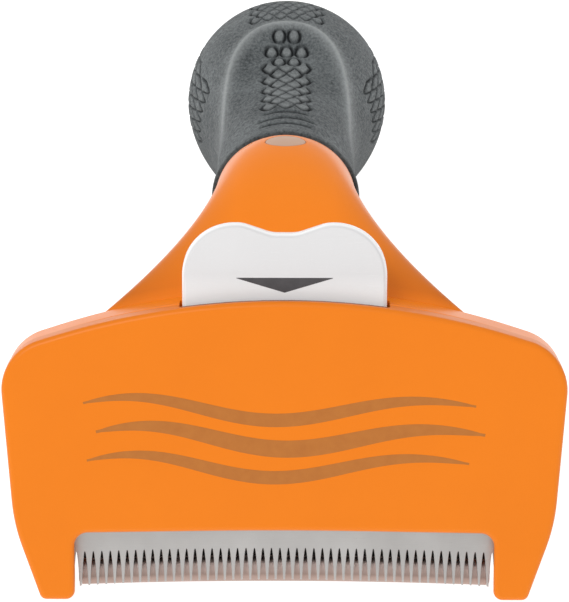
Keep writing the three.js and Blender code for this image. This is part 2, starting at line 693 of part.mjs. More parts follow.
const handle = new THREE.Group();
handle.position.set(0, COLLAR_Y, COLLAR_Z);
handle.rotation.x = HANDLE_SLOPE;
add(handle, 'handle_core', handleCore(), blackPlastic());
add(handle, 'core_end_cap', coreEndCap(), blackPlastic());
add(handle, 'grip_sleeve', gripSleeve(), greyRubber());
const handleScrew = add(handle, 'handle_screw', screw(1.9, 1, 1.2, 7.8), screwSteel());
handleScrew.rotation.x = -Math.PI / 2;
handleScrew.position.set(0, PLUG_AT, 9.9);
add(head, 'screw_plug', screwPlug(), orangePlastic());

const tool = new THREE.Group();
tool.add(head, ejector, handle);
tool.rotation.x = -tilt;
tool.updateMatrixWorld(true);
const box = new THREE.Box3().setFromObject(tool, true);
tool.position.set(-(box.min.x + box.max.x) / 2, -(box.min.y + box.max.y) / 2, -box.min.z);

const model = new THREE.Group();
model.add(tool);

export default model;
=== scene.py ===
"""Looks of the deshedding tool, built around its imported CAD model.

Every piece is drawn in the head frame, in millimetres: X across the head, Y from the face towards
the handle, Z up along the face from the soles. HEAD carries that frame into the row frame.
"""

import json
import math

import bpy
import numpy as np
from mathutils import Matrix, Vector

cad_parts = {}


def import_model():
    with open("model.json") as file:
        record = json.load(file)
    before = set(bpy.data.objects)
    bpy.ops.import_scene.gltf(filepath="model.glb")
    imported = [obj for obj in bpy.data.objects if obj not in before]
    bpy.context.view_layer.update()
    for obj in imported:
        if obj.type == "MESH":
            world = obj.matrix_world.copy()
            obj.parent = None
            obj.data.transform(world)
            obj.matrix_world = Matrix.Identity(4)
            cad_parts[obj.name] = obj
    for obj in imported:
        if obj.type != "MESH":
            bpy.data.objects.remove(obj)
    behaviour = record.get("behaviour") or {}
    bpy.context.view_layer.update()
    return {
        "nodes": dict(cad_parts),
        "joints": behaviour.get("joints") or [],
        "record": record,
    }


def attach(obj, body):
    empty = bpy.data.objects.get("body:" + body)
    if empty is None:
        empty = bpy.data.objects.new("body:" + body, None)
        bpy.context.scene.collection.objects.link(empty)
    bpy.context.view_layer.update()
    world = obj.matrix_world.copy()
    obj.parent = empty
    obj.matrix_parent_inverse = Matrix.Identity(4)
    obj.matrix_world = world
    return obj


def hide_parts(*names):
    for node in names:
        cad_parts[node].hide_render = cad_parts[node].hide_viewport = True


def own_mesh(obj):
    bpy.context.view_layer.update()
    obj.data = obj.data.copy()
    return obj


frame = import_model()

# ---- the head frame, from the frame's own joint and face mount -----------------------------------

FACE_MOUNT_Z = 28.0
MM = 0.001
JOINT = frame["joints"][0]
TILT_AXIS = Vector(JOINT["axis"])
TILT = math.atan2(-TILT_AXIS.y, -TILT_AXIS.z)
TURN = Matrix.Rotation(-TILT, 4, "X")
face_mount = next(m for m in frame["record"]["mounts"] if m["name"] == "face")
ORIGIN = Vector(face_mount["pos_m"]) - TURN @ Vector((0, 0, FACE_MOUNT_Z * MM))
HEAD = Matrix.Translation(ORIGIN) @ TURN @ Matrix.Scale(MM, 4)

# ---- sizes in mm, as in the CAD model or within it -----------------------------------------------

HEAD_DEPTH = 11.0
SEAM_Y = 4.2
SEAM_GAP = 0.3
FACE_WALL = 2.0
SHOULDER_X, SHOULDER_RADIUS = 45.56, 8.5
SOLE_Z = 0.03
CAVITY_BACK = 9.0
MOUTH_HALF = 33.65
MOUTH_DRAFT = 0.07
LEDGE_Z = 14.6
GAP = 0.3
TOOTH_PITCH = 1.3735
NOTCHES = 50
NOTCH_POWER = 0.62
NOTCH_STEPS = (0, 0.14, 0.28, 0.42, 0.56, 0.7, 0.82, 0.9, 0.95, 0.98, 0.997)
TOOTH_TIP = 0.35
TIP_Z, TIP_DROP = 2.5, 1.2
NOTCH_Z, NOTCH_DROP = 7.77, 0.75
BLADE_FRONT, BLADE_BACK = 3.9, 5.4
BLADE_TOP = 22.0
BLADE_HALF = 36.0
SCREW_Z = 17.0
BLADE_SCREW_X, BLADE_SCREW_Y = (-22.0, 0.0, 22.0), 2.3
GUARD_RADIUS = 1.7
GUARD_Y, GUARD_Z = 7.9, 2.85
GUARD_TOP = 5.1
GUARD_HALF = 33.45
GUARD_DROP = 0.65
GUARD_SHEET = 0.8
BUTTON_HALF = 16.3
BUTTON_FRONT, BUTTON_BACK = 2.9, 7.4
BUTTON_BOTTOM = 41.0
BUTTON_SCREW_X, BUTTON_SCREW_Y = 11.0, 5.8
SLOT_FRONT = 1.9
SLIDE_BOTTOM = 32.4
SPRING_X, SPRING_Y = 38.0, 7.2
SPRING_TURNS = 8
SPRING_RADIUS, SPRING_WIRE = 1.35, 0.25
COLLAR_Y, COLLAR_Z = 46.0, 57.8
HANDLE_SLOPE = math.radians(7)
NECK_RADIUS = 12.1
NECK_SIDES = 128
# The neck's section: at the collar, at the head, and the exponent between them.
NECK_TOP = (69.7, 48.7, 1.75)
NECK_BOTTOM = (45.9, 17.0, 1.8)
NECK_HALF = (NECK_RADIUS, 32.7, 2.65)
NECK_ROOT_Y = 10.4
NECK_WALL, NECK_FLOOR_Z = 2.8, 21.5
SOCKET_RADIUS, SOCKET_DEPTH = 7.5, 12.0
GRIP_RADIUS = 12.3
BULB_RADIUS = 19.1
BULB_AT = 69.5
GRIP_LENGTH = 97.0
CHANNEL_END = 60.6
CHANNEL_CORNER = 2.8
CHANNEL_HALF = 11.6
CHANNEL_START = 10.0
CHANNEL_ARCH = 5.2
CREASE_DEPTH, SCALE_RISE, GRIP_INSET = 0.55, 0.2, 0.06
PLUG_AT = -4.2
PLUG_BOTTOM, PLUG_CEILING = 10.4, 14.0
PLUG_HALF = (3.4, 2.4)
HANDLE_SCREW_TOP = 9.9
REAR_TOP_RADIUS = 118.0
REST_EDGE_Y = 7.4
COVER_SCREWS = {
    "cover_screw_upper_left": (-36.5, 38.6),
    "cover_screw_upper_right": (36.5, 38.6),
    "cover_screw_lower_left": (-39.7, 9.5),
    "cover_screw_lower_right": (39.7, 9.5),
}
UPPER_COVER_SCREWS = list(COVER_SCREWS.values())[:2]
# Screws: radius and height of the head, radius of the shank, whole length.
BLADE_SCREW = (2.6, 1.3, 1.2, 7.6)
COVER_SCREW = (2.1, 1.2, 1.1, 8.8)
BUTTON_SCREW = (1.5, 1.3, 0.85, 12)
HANDLE_SCREW = (1.9, 1.0, 1.2, 7.8)
THREAD_PITCH = 0.7

HANDLE = Matrix.Translation((0, COLLAR_Y, COLLAR_Z)) @ Matrix.Rotation(HANDLE_SLOPE, 4, "X")
HANDLE_SPACE = HEAD @ HANDLE


# ---- material helpers ----------------------------------------------------------------------------

class Shader:
    """A node material that starts from a Principled shader and the head's or handle's millimetres."""

    def __init__(self, name, space=HEAD, metallic=0.0, ior=1.45):
        self.material = bpy.data.materials.new(name)
        self.material.use_nodes = True
        self.tree = self.material.node_tree
        self.surface = self.tree.nodes["Principled BSDF"]
        self.surface.inputs["Metallic"].default_value = metallic
        self.surface.inputs["IOR"].default_value = ior
        position = self.tree.nodes.new("ShaderNodeTexCoord").outputs["Object"]
        place = self.node("ShaderNodeMapping", {"Vector": position}, vector_type="TEXTURE")
        place.inputs["Location"].default_value = space.to_translation()
        place.inputs["Rotation"].default_value = space.to_euler()
        place.inputs["Scale"].default_value = (MM, MM, MM)
        self.where = place.outputs["Vector"]

    def node(self, kind, inputs=None, **settings):
        node = self.tree.nodes.new(kind)
        for key, value in settings.items():
            setattr(node, key, value)
        for key, value in (inputs or {}).items():
            if isinstance(value, bpy.types.NodeSocket):
                self.tree.links.new(value, node.inputs[key])
            else:
                node.inputs[key].default_value = value
        return node

    def stretched(self, scale, turn=(0, 0, 0)):
        mapping = self.node("ShaderNodeMapping", {"Vector": self.where})
        mapping.inputs["Scale"].default_value = scale
        mapping.inputs["Rotation"].default_value = turn
        return mapping.outputs["Vector"]

    def noise(self, scale, detail=3.0, roughness=0.55, vector=None):
        inputs = {"Vector": vector or self.where, "Scale": scale}
        inputs.update({"Detail": detail, "Roughness": roughness})
        return self.node("ShaderNodeTexNoise", inputs).outputs["Fac"]

    def cells(self, scale, vector):
        inputs = {"Vector": vector, "Scale": scale, "Randomness": 1.0}
        return self.node("ShaderNodeTexVoronoi", inputs, feature="SMOOTH_F1").outputs["Distance"]

    def axis(self, letter):
        """One coordinate of the piece's own frame, in millimetres."""
        return self.node("ShaderNodeSeparateXYZ", {"Vector": self.where}).outputs[letter]

    def attribute(self, name):
        return self.node("ShaderNodeAttribute", attribute_name=name).outputs["Fac"]

    def remap(self, value, low, high, out_low, out_high):
        inputs = {"Value": value, "From Min": low, "From Max": high}
        inputs.update({"To Min": out_low, "To Max": out_high})
        return self.node("ShaderNodeMapRange", inputs).outputs["Result"]

    def blended(self, first, second, share):
        """Two noises added, the second with this share of the sum."""
        return self.math("ADD", self.remap(first, 0.3, 0.7, 0.0, 1 - share),
                         self.remap(second, 0.3, 0.7, 0.0, share))

    def math(self, operation, first, second=0.0):
        return self.node("ShaderNodeMath", {0: first, 1: second}, operation=operation).outputs["Value"]

    def mix(self, factor, first, second):
        node = self.node("ShaderNodeMix", data_type="RGBA")
        for place, value in ((0, factor), (6, first), (7, second)):
            socket = node.inputs[place]
            if isinstance(value, bpy.types.NodeSocket):
                self.tree.links.new(value, socket)
            else:
                socket.default_value = value if socket.type == "VALUE" else (*value, 1.0)
        return node.outputs[2]

    def colour(self, value):
        self.tree.links.new(value, self.surface.inputs["Base Color"])

    def roughness(self, value):
        self.tree.links.new(value, self.surface.inputs["Roughness"])

    def bumps(self, *layers):
        """Layers of (height socket, strength, distance in metres), the broadest first."""
        normal = None
        for height, strength, distance in layers:
            inputs = {"Height": height, "Strength": strength, "Distance": distance}
            if normal:
                inputs["Normal"] = normal
            normal = self.node("ShaderNodeBump", inputs).outputs["Normal"]
        self.tree.links.new(normal, self.surface.inputs["Normal"])


def linear(red, green, blue):
    """Scene-linear colour from display values of 0 to 255."""
    return tuple(((v / 255 + 0.055) / 1.055) ** 2.4 for v in (red, green, blue))


def painted_neck_shade(shader):
    """Painted shade on the flanks of the neck near the head, from 0 to 1, where its colour is deeper.
    """
    across = shader.remap(shader.math("ABSOLUTE", shader.axis("X")), 8.0, 26.0, 0.0, 1.0)
    return shader.math("MULTIPLY", across, shader.remap(shader.axis("Y"), 10.2, 12.5, 0.0, 1.0))


def painted_rim_light(shader):
    """Painted highlight on the button's bevelled rim and painted light at its foot, from 0 to 1, where
    its white is paler.
    """
    rim = shader.remap(shader.axis("Y"), BUTTON_FRONT + 0.18, BUTTON_FRONT + 0.45, 0.0, 0.9)
    foot = shader.remap(shader.axis("Z"), 53.0, 48.0, 0.0, 0.75)
    return shader.math("MAXIMUM", rim, foot)


def slot_gap_shade(shader):
    """Painted shade: a dark line on the cover's edge along the button's slot, in place of the gap's
    shadow, from 0 to 1.
    """
    side = shader.math("ABSOLUTE", shader.axis("X"))
    across = shader.remap(side, BUTTON_HALF, BUTTON_HALF + 0.5, 1.0, 0.0)
    deep = shader.remap(shader.axis("Y"), 1.0, 1.4, 0.0, 0.85)
    high = shader.remap(shader.axis("Z"), 30.0, 31.0, 0.0, 1.0)
    return shader.math("MULTIPLY", across, shader.math("MULTIPLY", deep, high))


def moulded_plastic(name, light, dark, gloss, where=None, painted_tone=None):
    """Injection-moulded plastic: faint flow mottling, spark-eroded grain and fine handling scuffs,
    with an optional mask that mixes in a painted shade or painted highlight tone.
    """
    shader = Shader(name)
    shader.surface.inputs["Specular IOR Level"].default_value = 0.28
    flow = shader.noise(0.05, 4.0, 0.6)
    speckle = shader.noise(4.0, 2.0)
    tone = shader.math("ADD", shader.remap(flow, 0.35, 0.65, 0.0, 0.7),
                       shader.remap(speckle, 0.3, 0.7, 0.0, 0.3))
    plain = shader.mix(tone, light, dark)
    shader.colour(shader.mix(where(shader), plain, painted_tone) if where else plain)
    scuffs = shader.noise(1.4, 2.0, vector=shader.stretched((0.25, 1.0, 3.5), (0.3, 0.2, 0.5)))
    wear = shader.remap(scuffs, 0.62, 0.74, 0.0, 0.07)
    even = shader.remap(flow, 0.3, 0.7, gloss - 0.03, gloss + 0.03)
    shader.roughness(shader.math("ADD", even, wear))
    grain = shader.noise(5.5, 3.0, 0.6)
    shader.bumps((flow, 0.04, 0.0004), (scuffs, 0.03, 0.00003), (grain, 0.10, 0.00003))
    return shader.material


def brushed_steel(name, light, dark, rough, along=(0.03, 1.0, 9.0)):
    """Ground steel: fine lines along X over broad, soft variations, with a few stray scratches."""
    shader = Shader(name, metallic=1.0)
    lines = shader.noise(6.0, 4.0, 0.7, vector=shader.stretched(along))
    cloud = shader.noise(0.12, 3.0)
    shader.colour(shader.mix(shader.blended(lines, cloud, 0.55), light, dark))
    stray = shader.noise(1.1, 2.0, vector=shader.stretched((0.3, 1.0, 7.0), (0, 0.9, 0)))
    scratched = shader.remap(stray, 0.66, 0.72, 0.0, 0.12)
    ground = shader.remap(lines, 0.3, 0.7, rough - 0.06, rough + 0.08)
    shader.roughness(shader.math("ADD", ground, scratched))
    shader.bumps((cloud, 0.05, 0.0003), (lines, 0.16, 0.00002))
    return shader.material


def guard_metal(name):
    """Warm satin metal, with painted light brightening the top of the roll and painted shade darkening
    the web above it.
    """
    shader = Shader(name, metallic=0.35)
    lines = shader.noise(5.0, 4.0, 0.7, vector=shader.stretched((0.05, 1.0, 7.0)))
    cloud = shader.noise(0.15, 3.0)
    across = shader.axis("X")
    square = shader.math("MULTIPLY", across, across)
    arch = shader.math("MULTIPLY", square, GUARD_DROP / GUARD_HALF ** 2)
    height = shader.math("ADD", shader.axis("Z"), arch)
    satin = shader.mix(shader.blended(lines, cloud, 0.6), (0.50, 0.365, 0.315), (0.42, 0.295, 0.25))
    # Painted light: the top of the roll is painted bright where it lies in shade under the blade.
    painted_highlight = shader.mix(shader.remap(height, 2.8, 4.4, 0.0, 1.0), satin, (0.98, 0.78, 0.72))
    # Painted shade: the web above the roll is painted near-black in place of its shadow behind the
    # teeth.
    painted_web_shade = shader.remap(height, GUARD_TOP - 0.05, GUARD_TOP + 0.15, 0.0, 1.0)
    shader.colour(shader.mix(painted_web_shade, painted_highlight, (0.05, 0.045, 0.043)))
    shader.roughness(shader.remap(lines, 0.3, 0.7, 0.42, 0.54))
    shader.bumps((cloud, 0.05, 0.0003), (lines, 0.12, 0.00002))
    return shader.material


def grained_rubber(name):
    """Soft rubber with a leathery grain, with painted shade in its creases and low down and painted
    highlights on its ridges.
    """
    shader = Shader(name, space=HANDLE_SPACE, ior=1.42)
    shader.surface.inputs["Specular IOR Level"].default_value = 0.18
    broad = shader.noise(0.08, 4.0, 0.6)
    pebble = shader.cells(1.7, shader.stretched((1.0, 0.7, 1.0)))
    creases = shader.noise(1.5, 5.0, 0.7, vector=shader.stretched((1.3, 0.75, 1.3)))
    fine = shader.noise(6.0, 3.0, 0.65)
    mottled = shader.math("ADD", shader.remap(broad, 0.35, 0.65, 0.0, 0.35),
                          shader.remap(creases, 0.36, 0.62, 0.65, 0.0))
    rubber = shader.mix(mottled, linear(123, 128, 129), linear(58, 62, 64))
    # Painted highlight: the channel's ridges and the proud scales are painted paler.
    painted_highlight = shader.remap(shader.attribute("painted_highlight"), 0.0, 1.0, 0.0, 0.62)
    highlighted = shader.mix(painted_highlight, rubber, linear(188, 192, 192))
    # Painted shade: the lower side of the grip is painted darker.
    low = shader.remap(shader.axis("Z"), -10.0, 8.0, 0.92, 0.0)
    sides = shader.mix(low, highlighted, linear(54, 59, 60))
    # Painted shade: creases, dot rings, ribs and the line and band at the mouth are painted
    # near-black.
    crease_shade = shader.remap(shader.attribute("crease"), 0.12, 0.85, 0.0, 0.94)
    shader.colour(shader.mix(crease_shade, sides, linear(24, 26, 28)))
    shader.roughness(shader.remap(creases, 0.3, 0.7, 0.66, 0.5))
    shader.bumps((pebble, 0.7, 0.00022), (creases, 1.0, 0.00035), (fine, 0.3, 0.00006))
    return shader.material


def printed_ink(name, light, dark, rough):
    """A thin layer of pad-printed ink with the mottling of the plastic under it."""
    shader = Shader(name)
    cloud = shader.noise(0.5, 4.0, 0.6)
    shader.colour(shader.mix(shader.remap(cloud, 0.3, 0.7, 0.0, 1.0), light, dark))
    grain = shader.noise(6.0, 3.0)
    shader.roughness(shader.remap(grain, 0.3, 0.7, rough - 0.04, rough + 0.05))
    shader.bumps((cloud, 0.04, 0.0002), (grain, 0.12, 0.00003))
    return shader.material


def pale_floor(name):
    """Matt white table that glows, so that it shows no shadow."""
    shader = Shader(name)
    cloud = shader.noise(0.004, 3.0)
    shader.colour(shader.mix(cloud, (0.34, 0.34, 0.34), (0.32, 0.32, 0.32)))
    shader.roughness(shader.remap(cloud, 0.3, 0.7, 0.7, 0.8))
    shader.surface.inputs["Emission Color"].default_value = (1, 1, 1, 1)
    shader.surface.inputs["Emission Strength"].default_value = 0.93
    return shader.material


EVEN = (1.0, 1.0, 1.0)
# Painted shade: the cover's orange is a darker copy of the housing's, and a dark painted line shades
# the edge along the button's slot.
orange_cover = moulded_plastic("orange_cover", (0.82, 0.204, 0.005), (0.79, 0.193, 0.004), 0.36,
                               slot_gap_shade, (0.1, 0.022, 0.006))
# Painted shade: the neck's flanks near the head are painted a deeper orange.
orange_housing = moulded_plastic("orange_housing", (0.93, 0.236, 0.007), (0.9, 0.223, 0.005), 0.3,
                                 painted_neck_shade, (0.6, 0.145, 0.006))
orange_plug = moulded_plastic("orange_plug", (0.60, 0.39, 0.28), (0.55, 0.33, 0.22), 0.34)
# Painted highlight on the button's rim and painted light lifting the shade at its foot.
white_plastic = moulded_plastic("white_plastic", (0.72, 0.715, 0.718), (0.69, 0.685, 0.688), 0.25,
                                painted_rim_light, (0.97, 0.97, 0.97))
slide_plastic = moulded_plastic("slide_plastic", (0.03, 0.031, 0.033), (0.02, 0.021, 0.022), 0.5)
core_plastic = moulded_plastic("core_plastic", (0.035, 0.036, 0.038), (0.024, 0.025, 0.026), 0.5)
grip_rubber = grained_rubber("grip_rubber")
blade_steel = brushed_steel("blade_steel", (0.60, 0.585, 0.57), (0.49, 0.475, 0.46), 0.33)
guard_steel = guard_metal("guard_steel")
plate_steel = brushed_steel("plate_steel", (0.58, 0.57, 0.56), (0.48, 0.47, 0.46), 0.34)
screw_steel = brushed_steel("screw_steel", (0.50, 0.49, 0.47), (0.38, 0.37, 0.35), 0.32, EVEN)
spring_steel = brushed_steel("spring_steel", (0.46, 0.45, 0.44), (0.34, 0.33, 0.32), 0.28, EVEN)
strand_ink = printed_ink("strand_ink", (0.47, 0.155, 0.018), (0.43, 0.135, 0.014), 0.38)
arrow_ink = printed_ink("arrow_ink", (0.072, 0.067, 0.07), (0.055, 0.051, 0.054), 0.42)


# ---- mesh helpers --------------------------------------------------------------------------------

def mesh_piece(name, points, faces):
    mesh = bpy.data.meshes.new(name)
    mesh.from_pydata([tuple(map(float, p)) for p in points], [], [tuple(map(int, f)) for f in faces])
    mesh.validate()
    piece = bpy.data.objects.new(name, mesh)
    bpy.context.scene.collection.objects.link(piece)
    return piece


def settle(piece):
    """Applies the piece's modifiers to its mesh."""
    bpy.context.view_layer.update()
    graph = bpy.context.evaluated_depsgraph_get()
    mesh = bpy.data.meshes.new_from_object(piece.evaluated_get(graph))
    piece.modifiers.clear()
    piece.data = mesh


def combine(piece, operation, tools):
    """Boolean join or cut with solids that are then removed."""
    for tool in tools:
        modifier = piece.modifiers.new("boolean", "BOOLEAN")
        modifier.operation = operation
        modifier.solver = "EXACT"
        modifier.object = tool
    settle(piece)
    for tool in tools:
        bpy.data.objects.remove(tool)
    return piece


def finish_piece(piece, material, body, slot, *nodes, matrix=HEAD, sharp=34, squash=None):
    """Puts a piece into the row frame, smooths it up to its sharp edges and hangs it on its body."""
    piece.data.transform(matrix)
    piece.data.materials.clear()
    piece.data.materials.append(material)
    piece.data.shade_smooth()
    piece.data.set_sharp_from_angle(angle=math.radians(sharp))
    weighted = piece.modifiers.new("weighted", "WEIGHTED_NORMAL")
    weighted.keep_sharp = True
    weighted.weight = 60
    settle(piece)
    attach(piece, body)
    if nodes:
        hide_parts(*nodes)
    if squash:
        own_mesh(piece)
    return piece


def rounded(corners, chord=0.004):
    """Closed outline, anticlockwise seen from the front, through corners (x, z, radius)."""
    points = []
    for i, (x, z, radius) in enumerate(corners):
        corner = Vector((x, z))
        if not radius:
            points.append(corner)
            continue
        back = (Vector(corners[i - 1][:2]) - corner).normalized()
        ahead = (Vector(corners[(i + 1) % len(corners)][:2]) - corner).normalized()
        half = math.acos(max(-1.0, min(1.0, back.dot(ahead)))) / 2
        centre = corner + (back + ahead).normalized() * (radius / math.sin(half))
        start = corner + back * (radius / math.tan(half)) - centre
        end = corner + ahead * (radius / math.tan(half)) - centre
        first = math.atan2(start.y, start.x)
        turn = (math.atan2(end.y, end.x) - first + math.pi) % (2 * math.pi) - math.pi
        step = min(math.radians(10), 2 * math.acos(1 - chord / radius))
        count = 2 * math.ceil(abs(turn) / step / 2)
        points += [centre + radius * Vector((math.cos(a), math.sin(a)))
                   for a in np.linspace(first, first + turn, count + 1)]
    area = sum(p.x * q.y - q.x * p.y for p, q in zip(points, points[1:] + points[:1]))
    return points if area > 0 else points[::-1]


def mirrored(right):
    """Full corner list from the right half, given from the top to the bottom."""
    return right + [(-x, z, radius) for x, z, radius in reversed(right) if x > 0]


def inset(outline, distance):
    """The outline moved inwards by a distance, with its corners mitred."""
    inner = []
    for i, point in enumerate(outline):
        first = (point - outline[i - 1]).normalized()
        second = (outline[(i + 1) % len(outline)] - point).normalized()
        along = (first + second).normalized()
        miter = distance / max(0.5, along.dot(first))
        inner.append(Vector((point.x - along.y * miter, point.y + along.x * miter)))
    return inner


def skin(name, rings):
    """Closed body through rings of equal length, with a flat cap at each end."""
    count = len(rings[0])
    points = [p for ring in rings for p in ring]
    faces = []
    for r in range(len(rings) - 1):
        for i in range(count):
            a, b = r * count + i, r * count + (i + 1) % count
            faces.append((a, a + count, b + count, b))
    last = (len(rings) - 1) * count
    faces += [tuple(range(count)), tuple(last + i for i in reversed(range(count)))]
    return mesh_piece(name, points, faces)


def slab(name, outline, layers):
    """Solid along Y through layers of (y, inset), from an outline in X and Z or a function of y."""
    outline_at = outline if callable(outline) else lambda y: outline
    return skin(name, [[(p.x, y, p.y) for p in inset(outline_at(y), d)] for y, d in layers])


def front_round(y, radius, steps=6):
    """Layers of a rounded front edge that starts at depth y."""
    return [(y + radius * (1 - math.cos(a)), radius * (1 - math.sin(a)))
            for a in np.linspace(0, math.pi / 2, steps + 1)]


def back_round(y, radius, steps=6):
    """Layers of a rounded back edge that ends at depth y."""
    return [(y - radius * (1 - math.cos(a)), radius * (1 - math.sin(a)))
            for a in np.linspace(math.pi / 2, 0, steps + 1)]


def turned(name, profile, sides, matrix=None):
    """Body of revolution about Y through (radius, y), with a flat cap at each end."""
    angles = [-2 * math.pi * i / sides for i in range(sides)]
    wide = [(max(radius, 0.004), y) for radius, y in profile]
    piece = skin(name, [[(r * math.sin(a), y, r * math.cos(a)) for a in angles] for r, y in wide])
    if matrix is not None:
        piece.data.transform(matrix)
    return piece


def rod(radius, front, back, x, z, sides=40):
    """Cylinder along Y."""
    return turned("tool", [(radius, front), (radius, back)], sides, Matrix.Translation((x, 0, z)))


def post(radius, bottom, top, x, y, sides=32):
    """Cylinder along Z."""
    upright = Matrix.Translation((x, y, 0)) @ Matrix.Rotation(math.pi / 2, 4, "X")
    return turned("tool", [(radius, bottom), (radius, top)], sides, upright)


def block(x0, x1, y0, y1, z0, z1):
    corners = [Vector((x0, z0)), Vector((x1, z0)), Vector((x1, z1)), Vector((x0, z1))]
    return slab("tool", corners, [(y0, 0), (y1, 0)])


def side_prism(section):
    """Straight prism right across the head, its section given as (y, z) corners."""
    return skin("tool", [[(x, y, z) for y, z in section] for x in (-50, 50)])


def moved(piece, matrix):
    piece.data.transform(matrix)
    return piece


def smoothstep(x, low, high):
    t = np.clip((np.asarray(x, float) - low) / (high - low), 0, 1)
    return t * t * (3 - 2 * t)


def mix(first, second, share):
    return first + (second - first) * share


# ---- outlines ------------------------------------------------------------------------------------

COVER_TOP = [(0, 54.8, 122), (SHOULDER_X, 40.6, SHOULDER_RADIUS)]
REAR_TOP = [(0, 55.05, REAR_TOP_RADIUS), (SHOULDER_X, 40.25, SHOULDER_RADIUS)]
SKID = [(43.4, 12.5, 30), (39.1, SOLE_Z, 1.2)]


def head_outline(top):
    """The head's outline as a function of the depth: the mouth widens towards the back."""
    def at(y):
        side = MOUTH_HALF + MOUTH_DRAFT * y
        mouth = [(side, SOLE_Z, 1.5), (side, 11.1, 2.2), (0, 11.65, 800)]
        return rounded(mirrored([*top, *SKID, *mouth]))
    return at


cavity_outline = rounded(mirrored([
    (0, 52.4, 120), (43.0, 39.4, 6.5), (41.4, LEDGE_Z, 0.8),
    (MOUTH_HALF, LEDGE_Z, 0), (MOUTH_HALF, -3, 0),
]), chord=0.02)
button_outline = rounded(mirrored([
    (2, 59.4, 5), (6.7, 61.07, 5.5), (BUTTON_HALF, 61.07, 8.4), (BUTTON_HALF, BUTTON_BOTTOM, 0.8),
]))


def button_slot(front, back):
    half = BUTTON_HALF + 0.5
    return block(-half, half, front, back, 40, 60)


# ---- shells --------------------------------------------------------------------------------------

def blade_pockets():
    """Room in the skids for the ends of the blade."""
    front, back = BLADE_FRONT - GAP, BLADE_BACK + GAP
    ends = ((MOUTH_HALF - 1, BLADE_HALF + GAP), (-BLADE_HALF - GAP, 1 - MOUTH_HALF))
    return [block(low, high, front, back, 0.9, LEDGE_Z + 1) for low, high in ends]


def front_cover():
    shell = slab("front_cover_shell", head_outline(COVER_TOP),
                 front_round(0, 0.9) + back_round(SEAM_Y, 0.4, 4))
    hollow = slab("tool", cavity_outline, [(FACE_WALL, 0), (SEAM_Y + 1, 0)])
    combine(shell, "DIFFERENCE", [hollow, *blade_pockets()])
    bosses = [rod(2.4, FACE_WALL - 0.1, SEAM_Y - GAP, x, z) for x, z in UPPER_COVER_SCREWS]
    combine(shell, "UNION", bosses)
    holes = [rod(1.4, 1.6, SEAM_Y + 1, x, z) for x, z in COVER_SCREWS.values()]
    combine(shell, "DIFFERENCE", [button_slot(SLOT_FRONT, SEAM_Y + 1), *holes])
    return finish_piece(shell, orange_cover, "tool", "orange_cover", "front_cover")


def neck_ceiling(x, y):
    """The neck starts just under the top of the head and rises away from it."""
    head_top = 49 - REAR_TOP_RADIUS + np.sqrt(REAR_TOP_RADIUS ** 2 - x ** 2)
    return head_top - 0.2 + 1.3 * (y - HEAD_DEPTH)


def neck_ring(y, wall=0.0, flare=0.0):
    """Section of the neck at a depth; flare widens its lower part where it meets the head."""
    left = 1 - (y - HEAD_DEPTH) / (COLLAR_Y - HEAD_DEPTH)
    top, bottom, half = (mix(collar, head, left ** exponent)
                         for collar, head, exponent in (NECK_TOP, NECK_BOTTOM, NECK_HALF))
    power = 2 + 2 * left
    middle, height = (top + bottom) / 2, (top - bottom) / 2 - wall
    lean = math.tan(HANDLE_SLOPE) * float(smoothstep(y, 20, COLLAR_Y))
    angles = -2 * np.pi * np.arange(NECK_SIDES) / NECK_SIDES
    side, up = np.sin(angles), np.cos(angles)
    spread = flare * (1 - smoothstep(up, -0.1, 0.75))
    x = np.sign(side) * np.abs(side) ** (2 / power) * (half - wall + spread)
    z = middle + np.sign(up) * np.abs(up) ** (2 / power) * (height + spread)
    ceiling = neck_ceiling(x, y)
    z = np.where(up > 0, (z + ceiling - np.hypot(z - ceiling, 0.5)) / 2, z)
    return [(a, y - lean * (b - middle), b) for a, b in zip(x, z)]


def collar_ring(t, radius):
    angles = [-2 * math.pi * i / NECK_SIDES for i in range(NECK_SIDES)]
    return [tuple(HANDLE @ Vector((math.sin(a) * radius, t, math.cos(a) * radius))) for a in angles]


def neck():
    """Flared neck that grows out of the head's back with a soft fillet and ends in a rounded rim."""
    fillet = 0.5
    root = neck_ring(HEAD_DEPTH, flare=fillet)
    base = [[(x, NECK_ROOT_Y, z) for x, y, z in root]]
    base += [neck_ring(HEAD_DEPTH + fillet * (1 - math.cos(a)), flare=fillet * (1 - math.sin(a)))
             for a in np.linspace(0, math.pi / 2, 7)]
    body = [neck_ring(y) for y in np.linspace(HEAD_DEPTH + fillet + 0.5, 44.6, 36)]
    rim = [collar_ring(t, NECK_RADIUS - drop)
           for t, drop in ((-1.0, 0.05), (-0.75, 0.16), (-0.55, 0.34), (-0.4, 0.6), (-0.32, 0.95))]
    return skin("tool", base + body + rim)


def neck_hollow():
    """Hollow behind the cavity, level along its floor."""
    rings = []
    for depth in (8, 11, 13, 15, 17, 19, 21.5, 24, 26, 28):
        ring = neck_ring(max(depth, HEAD_DEPTH), wall=NECK_WALL)
        rings.append([(x, depth, max(z, NECK_FLOOR_Z)) for x, y, z in ring])
    return skin("tool", rings)


def plug_oval(clearance, bottom, top):
    """Oval prism across the handle's top."""
    across, along = (half + clearance for half in PLUG_HALF)
    oval = [(across * math.cos(a), PLUG_AT + along * math.sin(a))
            for a in np.linspace(0, -2 * math.pi, 65)[:-1]]
    return skin("screw_plug_cap", [[(x, y, height) for x, y in oval] for height in (bottom, top)])


def rest_wedge():
    """What the rest facets cut from the skids' backs."""
    rear = HEAD_DEPTH + 2
    rise = (rear - REST_EDGE_Y) * math.tan(TILT)
    return side_prism([(REST_EDGE_Y, 0), (rear, rise), (rear, -2), (REST_EDGE_Y, -2)])


